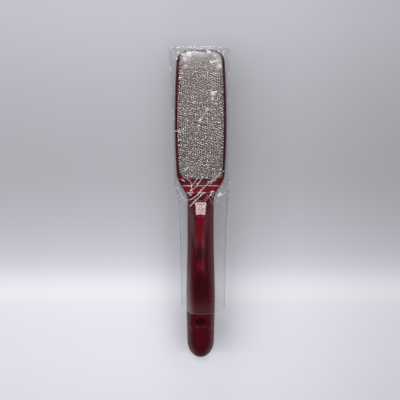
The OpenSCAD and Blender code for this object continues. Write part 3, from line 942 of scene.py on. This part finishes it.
def paintHandle():
    p = pointsOf(handleBody)
    x = p[:, 0]
    s = p[:, 1] - tailY
    paintedLight = np.full(len(x), paintedLightLevels["grip"])
    paintedLight = blend(paintedLight, paintedLightLevels["tail"], ease((34 - s) / 12))
    # The bright stripe of painted light behind the ramp narrows towards the pad.
    half = blend(1.5, 4.9, pastPad(s))
    stripe = 1 - ease((np.abs(x) - half * 0.7) / (half * 0.5))
    stripe = stripe * ease((s - 88) / 12) * ease((rampFoot + 2 - s) / 6)
    stripe = stripe + 0.85 * spotOn(x, s, paintedSpots["stripe"])
    paintedLight = blend(paintedLight, paintedLightLevels["stripe"], clamp(stripe))
    # Painted shade in the pad and the dimple.
    for name in ("pad", "dimple"):
        paintedLight = blend(paintedLight, paintedLightLevels[name], spotOn(x, s, paintedSpots[name]))
    wedge = (1 - ease((np.abs(x) - 2) / 3)) * bulge(s, 87, 13)
    paintedLight = blend(paintedLight, paintedLightLevels["wedge"], wedge)
    # Painted light where the plastic is thin at the scoop, the neck and the groove; the head is darker.
    paintedLight = blend(paintedLight, paintedLightLevels["scoop"], ease((s - rampFoot) / 6))
    paintedLight = blend(paintedLight, paintedLightLevels["neck"], ease((s - 146) / 3))
    paintedLight = blend(paintedLight, paintedLightLevels["groove"], inGroove(s, 0.6))
    paintedLight = blend(paintedLight, paintedLightLevels["head"], ease((s - 153) / 4) * 0.85)
    # Painted shade towards the sides.
    outwards = np.abs(x) / np.maximum(halfWidth(np.clip(s, 0.5, fileLen - 0.02)), 1)
    paintedLight = paintedLight * (1 - paintedLightLevels["sideLoss"] * ease((outwards - 0.86) / 0.14))
    storeNumbers(handleBody, "paintedLight", clamp(paintedLight))
    # The rear plate's adhesive shows through the neck as a pale olive patch.
    olive = np.exp(-((x - 2.5) / 5) ** 2) * np.exp(-((s - 146.9) / 1.7) ** 2)
    storeNumbers(handleBody, "plateBehind", clamp(0.8 * olive))


def plasticMaterial():
    material, nodes, links, out = newMaterial("handlePlastic")
    look = plasticLook
    coords = addNode(nodes, "TexCoord").outputs["Object"]
    flow = noiseOn(nodes, links, coords, 120, 4, (1, 0.25, 1))
    level = unevenLevel(nodes, links, numberOn(nodes, "paintedLight"), flow, 0.16, -0.08)
    tones = [(0.0, look["deep"]), (0.42, look["middle"]), (1.0, look["bright"])]
    mix = addNode(nodes, "Mix", data_type="RGBA")
    links.new(numberOn(nodes, "plateBehind"), mix.inputs["Factor"])
    links.new(ramp(nodes, links, level, tones, "EASE"), mix.inputs["A"])
    mix.inputs["B"].default_value = (*look["olive"], 1)
    shader = addNode(nodes, "BsdfPrincipled")
    links.new(mix.outputs["Result"], shader.inputs["Base Color"])
    scuff = noiseOn(nodes, links, coords, 900, 5, (1, 0.12, 1))
    polish = [(0.35, look["roughness"]), (0.8, look["roughness"] * look["scuffed"])]
    links.new(greyRamp(nodes, links, scuff, polish), shader.inputs["Roughness"])
    wave = noiseOn(nodes, links, coords, 260, 2)
    links.new(bumpOn(nodes, links, wave, 0.12, 0.0003), shader.inputs["Normal"])
    setInputs(shader, look["surface"])
    links.new(shader.outputs[0], out.inputs["Surface"])
    return material


# Steel, dark between the teeth and bright at their tips.
steelLook = {
    "front": ((0.125, 0.097, 0.09), (0.82, 0.775, 0.735)),
    "rear": ((0.16, 0.155, 0.15), (0.62, 0.6, 0.57)),
    "between": 0.12,
    "tip": 0.6,
    "polish": [(0.3, 0.26), (0.75, 0.5)],
}


def steelMaterial(name, tones):
    material, nodes, links, out = newMaterial(name)
    coords = addNode(nodes, "TexCoord").outputs["Object"]
    grain = noiseOn(nodes, links, coords, 2600, 3)
    level = unevenLevel(nodes, links, numberOn(nodes, "toothHeight"), grain, 0.35, -0.17)
    stops = [(steelLook["between"], tones[0]), (steelLook["tip"], tones[1])]
    shader = addNode(nodes, "BsdfPrincipled")
    links.new(ramp(nodes, links, level, stops), shader.inputs["Base Color"])
    shader.inputs["Metallic"].default_value = 1
    links.new(greyRamp(nodes, links, grain, steelLook["polish"]), shader.inputs["Roughness"])
    links.new(bumpOn(nodes, links, grain, 0.35, 0.00008), shader.inputs["Normal"])
    links.new(shader.outputs[0], out.inputs["Surface"])
    return material


adhesiveLook = {"tones": [(0.3, (0.42, 0.34, 0.15)), (0.7, (0.58, 0.5, 0.28))], "roughness": 0.55}


def adhesiveMaterial():
    material, nodes, links, out = newMaterial("adhesiveFilm")
    coords = addNode(nodes, "TexCoord").outputs["Object"]
    shader = addNode(nodes, "BsdfPrincipled")
    blotch = noiseOn(nodes, links, coords, 400, 4)
    links.new(ramp(nodes, links, blotch, adhesiveLook["tones"]), shader.inputs["Base Color"])
    links.new(bumpOn(nodes, links, blotch, 0.4, 0.0001), shader.inputs["Normal"])
    shader.inputs["Roughness"].default_value = adhesiveLook["roughness"]
    links.new(shader.outputs[0], out.inputs["Surface"])
    return material


# Clear film: nearly all light passes, and the rest is a sharp glance off its surface.
filmLook = {
    "tints": [(0, (0.935, 0.935, 0.94)), (1, (0.88, 0.88, 0.885))],
    "shine": {"Color": (0.95, 0.97, 1, 1), "Roughness": 0.1},
    "mostShine": 0.2,
    "highlightPaint": (0.92, 0.93, 0.96, 1),
    "broken": [(0.3, 0.7), (0.6, 1)],
}


def filmMaterial():
    material, nodes, links, out = newMaterial("clearFilm")
    look = filmLook
    coords = addNode(nodes, "TexCoord").outputs["Object"]
    clear = addNode(nodes, "BsdfTransparent")
    tint = ramp(nodes, links, numberOn(nodes, "edgeDark"), look["tints"])
    links.new(tint, clear.inputs["Color"])
    shine = addNode(nodes, "BsdfGlossy")
    setInputs(shine, look["shine"])
    crinkle = noiseOn(nodes, links, coords, 320, 4)
    links.new(bumpOn(nodes, links, crinkle, 0.08, 0.0004), shine.inputs["Normal"])
    facing = addNode(nodes, "Fresnel")
    facing.inputs["IOR"].default_value = 1.5
    share = mathNode(nodes, links, "MINIMUM", facing.outputs[0], look["mostShine"])
    sheet = mixShaders(nodes, links, share, clear, shine)
    # Painted highlights and reflections: a white surface laid over the sheet where the numbers say, broken
    # up by noise.
    highlightPaint = addNode(nodes, "BsdfDiffuse")
    highlightPaint.inputs["Color"].default_value = look["highlightPaint"]
    broken = greyRamp(nodes, links, noiseOn(nodes, links, coords, 700, 2), look["broken"])
    amount = mathNode(nodes, links, "MULTIPLY", numberOn(nodes, "paintedHighlight"), broken)
    links.new(mixShaders(nodes, links, amount, sheet, highlightPaint).outputs[0], out.inputs["Surface"])
    return material


paintHandle()
handlePlastic = plasticMaterial()
frontSteel = steelMaterial("frontSteel", steelLook["front"])
rearSteel = steelMaterial("rearSteel", steelLook["rear"])
adhesiveFilm = adhesiveMaterial()
clearFilm = filmMaterial()
for piece, look in ((handleBody, handlePlastic), (frontRasp, frontSteel), (rearRasp, rearSteel),
                    (frontFilm, clearFilm), (rearFilm, clearFilm)):
    piece.data.materials.append(look)
for name in ("front_adhesive", "rear_adhesive"):
    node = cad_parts[name]
    node.data.materials.clear()
    node.data.materials.append(adhesiveFilm)
print("materials: done")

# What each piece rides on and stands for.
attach(handleBody, "file")
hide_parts("handle")
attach(frontRasp, "file")
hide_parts("front_plate")
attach(rearRasp, "file")
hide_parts("rear_plate")
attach(frontFilm, "sleeve")
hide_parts("sleeve_front_film")
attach(rearFilm, "sleeve")
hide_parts("sleeve_rear_film")

# Floor: a pale sheet with painted light and shade, a little darker around the middle and towards +X, with
# a bright band across it beside the grip.
floor = {
    "size": 6.0,
    "tint": (1, 0.99, 1.085),
    "floorGlow": 0.65,
    # Painted light and shade along the floor, brightest in a band beside the grip.
    "along": [(-0.166, 0.83), (-0.12, 0.9), (-0.097, 0.915), (-0.087, 0.925), (-0.079, 0.99),
              (-0.0715, 0.93), (-0.064, 0.86), (-0.056, 0.755), (-0.042, 0.64), (-0.02, 0.565),
              (0.01, 0.49), (0.035, 0.478), (0.07, 0.505), (0.11, 0.54), (0.166, 0.62)],
    "across": [(-0.17, 0.96), (-0.11, 0.995), (-0.05, 1.0), (0.0, 0.99), (0.05, 0.965), (0.11, 0.9),
               (0.17, 0.79)],
    # Painted shadows: darker beside the whole file, and again beside its bare tail.
    "paintedShadows": [
        {"across": [(-0.06, 0), (-0.045, 0.05), (-0.034, 0.13), (-0.025, 0.29), (-0.015, 0.34),
                    (0.0, 0.28), (0.015, 0.32), (0.026, 0.36), (0.034, 0.24), (0.045, 0.14),
                    (0.06, 0.08), (0.08, 0)],
         "along": [(-0.15, 0), (-0.12, 0.45), (-0.09, 0.75), (-0.05, 0.9), (-0.01, 0.75),
                   (0.02, 0.7), (0.045, 0.9), (0.1, 0.9), (0.125, 0.45), (0.145, 0)]},
        {"across": [(-0.032, 0), (-0.022, 0.1), (-0.016, 0.25), (-0.01, 0.3), (0.01, 0.38),
                    (0.016, 0.36), (0.022, 0.24), (0.03, 0.1), (0.055, 0)],
         "along": [(-0.132, 0), (-0.126, 0.5), (-0.115, 1), (-0.098, 0.9), (-0.08, 0.25),
                   (-0.06, 0)]},
    ],
}


# A value along one axis of the floor, from stops in metres.
def floorRamp(nodes, links, source, stops, tint=(1, 1, 1)):
    low, high = stops[0][0], stops[-1][0]
    span = addNode(nodes, "MapRange")
    span.inputs["From Min"].default_value = low
    span.inputs["From Max"].default_value = high
    links.new(source, span.inputs["Value"])
    scaled = [((at - low) / (high - low), tuple(v * share for share in tint)) for at, v in stops]
    return ramp(nodes, links, span.outputs[0], scaled, "B_SPLINE")


def makeFloor():
    bm = bmesh.new()
    bmesh.ops.create_grid(bm, x_segments=2, y_segments=2, size=floor["size"] / 2)
    piece = makeMesh("floor", bm)
    material, nodes, links, out = newMaterial("paleFloor")
    coords = addNode(nodes, "TexCoord").outputs["Object"]
    split = addNode(nodes, "SeparateXYZ")
    links.new(coords, split.inputs[0])
    toX, toY = split.outputs["X"], split.outputs["Y"]
    color = floorRamp(nodes, links, toY, floor["along"], floor["tint"])
    color = mixColors(nodes, links, "MULTIPLY", color, floorRamp(nodes, links, toX, floor["across"]))
    # Painted shadows darken the floor's tone beside the file.
    for place in floor["paintedShadows"]:
        paintedShadow = mixColors(nodes, links, "MULTIPLY", floorRamp(nodes, links, toX, place["across"]),
                          floorRamp(nodes, links, toY, place["along"]))
        left = addNode(nodes, "Invert")
        links.new(paintedShadow, left.inputs["Color"])
        color = mixColors(nodes, links, "MULTIPLY", color, left.outputs["Color"])
    shader = addNode(nodes, "BsdfPrincipled")
    links.new(color, shader.inputs["Base Color"])
    setInputs(shader, {"Roughness": 0.8, "Specular IOR Level": 0.1})
    # Most of what is seen of the floor is a glow of its own tone, given to camera, glossy and transmission
    # rays, so that its shadows stay faint.
    floorGlow = addNode(nodes, "Emission")
    links.new(color, floorGlow.inputs["Color"])
    path = addNode(nodes, "LightPath").outputs
    seen = mathNode(nodes, links, "ADD", path["Is Camera Ray"], path["Is Glossy Ray"])
    seen = mathNode(nodes, links, "ADD", seen, path["Is Transmission Ray"])
    share = mathNode(nodes, links, "MULTIPLY", seen, floor["floorGlow"])
    links.new(mixShaders(nodes, links, share, shader, floorGlow).outputs[0], out.inputs["Surface"])
    piece.data.materials.append(material)


makeFloor()

# Soft studio light: dim overhead, a low bright horizon, and one wide soft box past the head.
studio = {
    "upwards": [(0.3, 0.2), (0.8, 0.03)],
    "pastHead": [(0.45, 0), (0.75, 0.4)],
    "wallHeight": [(0.2, 1), (0.85, 0)],
    "leftWall": [(0.25, 0), (0.75, 0.55)],
    "rightWall": [(0.25, 0), (0.75, 0.4)],
    "boxSize": (1.0, 0.6),
    "boxPower": 25,
    "boxAngle": 26.5,
    "boxFar": 2.0,
}


def makeLight():
    world = bpy.data.worlds.new("studio")
    bpy.context.scene.world = world
    world.use_nodes = True
    nodes = world.node_tree.nodes
    links = world.node_tree.links
    coords = addNode(nodes, "TexCoord").outputs["Generated"]
    split = addNode(nodes, "SeparateXYZ")
    links.new(coords, split.inputs[0])
    walls = greyRamp(nodes, links, split.outputs["Z"], studio["upwards"], "EASE")
    ahead = greyRamp(nodes, links, split.outputs["Y"], studio["pastHead"], "EASE")
    walls = mixColors(nodes, links, "ADD", walls, ahead)
    low = greyRamp(nodes, links, split.outputs["Z"], studio["wallHeight"], "EASE")
    for side, stops in ((-1, studio["leftWall"]), (1, studio["rightWall"])):
        toSide = mathNode(nodes, links, "MULTIPLY", split.outputs["X"], side)
        wall = mixColors(nodes, links, "MULTIPLY", greyRamp(nodes, links, toSide, stops, "EASE"), low)
        walls = mixColors(nodes, links, "ADD", walls, wall)
    links.new(walls, nodes["Background"].inputs["Color"])
    lamp = bpy.data.lights.new("softBox", "AREA")
    lamp.shape = "RECTANGLE"
    lamp.size, lamp.size_y = studio["boxSize"]
    lamp.energy = studio["boxPower"]
    lampObject = bpy.data.objects.new("softBox", lamp)
    angle = math.radians(studio["boxAngle"])
    far = studio["boxFar"]
    lampObject.location = (0, far * math.sin(angle), far * math.cos(angle))
    lampObject.rotation_euler = (-angle, 0, 0)
    bpy.context.scene.collection.objects.link(lampObject)


makeLight()

# Camera straight above, framed as the photograph is.
lens = {"focal": 70, "sensor": 36, "reach": 20}


def makeCamera():
    width = photo["size"] * photo["mmPerPixel"]
    far = lens["focal"] / lens["sensor"] * width
    centre = fromPixel(photo["size"] / 2, photo["size"] / 2)
    camera = bpy.data.cameras.new("camera")
    camera.lens = lens["focal"]
    camera.sensor_width = lens["sensor"]
    camera.clip_end = lens["reach"]
    cameraObject = bpy.data.objects.new("camera", camera)
    cameraObject.location = (centre[0] * mm, (tailY + centre[1]) * mm, (midZ + far) * mm)
    bpy.context.scene.collection.objects.link(cameraObject)
    bpy.context.scene.camera = cameraObject


makeCamera()
bpy.context.scene.view_settings.view_transform = "Standard"
print("stage: done")
